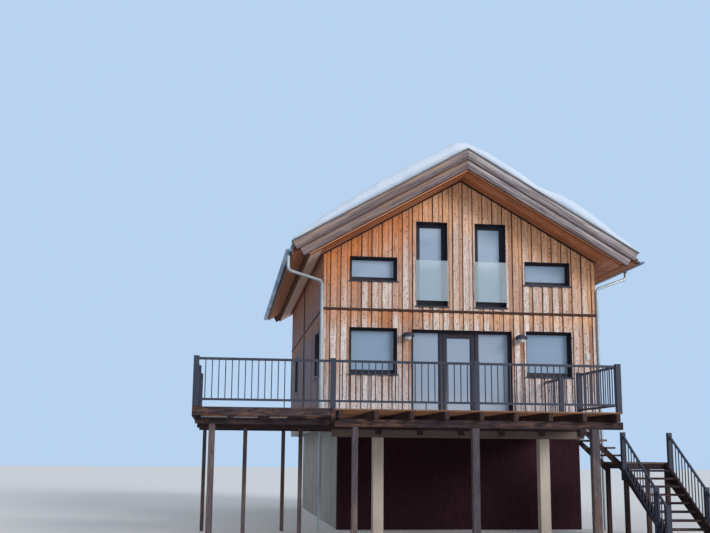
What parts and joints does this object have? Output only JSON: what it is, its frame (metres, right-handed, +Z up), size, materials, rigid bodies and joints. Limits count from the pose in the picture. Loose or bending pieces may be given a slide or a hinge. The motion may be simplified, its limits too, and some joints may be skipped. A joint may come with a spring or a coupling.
{
  "type": "chalet",
  "caption": "Two-storey gable-front timber chalet on a raised railed deck, with a deep snow-covered roof, gutters, glazed front and a railed access stair.",
  "frame": {"origin": "on level ground under the middle of the house plan, on the underside of the basement ground slab", "axes": "+Z up; the front gable and the deck face -Y; +X is to the right seen from the front"},
  "size_m": [11.43, 17.075, 9.8003],
  "materials": {
    "larch": "weathered, matt",
    "soffit_boards": "stained, matt",
    "silver_timber": "weathered silver-grey, matt",
    "dark_timber": "dark stained, matt",
    "deck_timber": "weathered, matt",
    "maroon_board": "painted, matt",
    "concrete": "mineral, matt",
    "pier_stone": "mineral, matt",
    "anthracite_frame": "powder coated, satin",
    "anthracite_metal": "painted, satin",
    "window_glass": "clear, polished",
    "guard_glass": "clear, polished",
    "roof_metal": "painted, satin",
    "zinc": "weathered, satin",
    "snow": "soft, matt",
    "white_plastic": "moulded, satin"
  },
  "bodies": {
    "house": {"basement_slab": "concrete", "basement_front": "maroon_board", "basement_sides": "concrete", "ground_floor": "concrete", "wall_front_left": "larch", "wall_front_right": "larch", "wall_over_door": "larch", "wall_front_upper": "larch", "wall_left": "larch", "wall_right": "larch", "wall_back": "larch", "upper_floor": "soffit_boards", "storey_band": "dark_timber", "window_frames": "anthracite_frame", "window_panes": "window_glass", "window_sills": "anthracite_metal", "glass_guards": "guard_glass", "terrace_frame": "anthracite_frame", "terrace_panes": "window_glass", "wall_lamps": "anthracite_metal", "wall_socket": "white_plastic", "roof_left": "soffit_boards", "roof_right": "soffit_boards", "roof_covering": "roof_metal", "bargeboards": "silver_timber", "eave_fascias": "silver_timber", "gutters": "zinc", "downpipes": "zinc", "roof_snow": "snow", "deck_boards": "deck_timber", "deck_joists": "dark_timber", "deck_girders": "deck_timber", "deck_cross_beams": "dark_timber", "deck_posts": "deck_timber", "deck_piers": "pier_stone", "railing_posts": "anthracite_metal", "railing_front": "anthracite_metal", "railing_left": "anthracite_metal", "railing_right": "anthracite_metal", "stair_frame": "dark_timber", "stair_treads": "deck_timber", "stair_rail_left": "anthracite_metal", "stair_rail_right": "anthracite_metal"},
    "terrace_door": {"door_leaf": "anthracite_frame", "door_glass": "window_glass"}
  },
  "joints": [
    {"name": "terrace_door_hinge", "type": "hinge", "parent": "house", "child": "terrace_door", "pos_m": [-0.485, -5.361, 2.84], "axis": [0, 0, 1], "range_deg": [0, 90]}
  ]
}
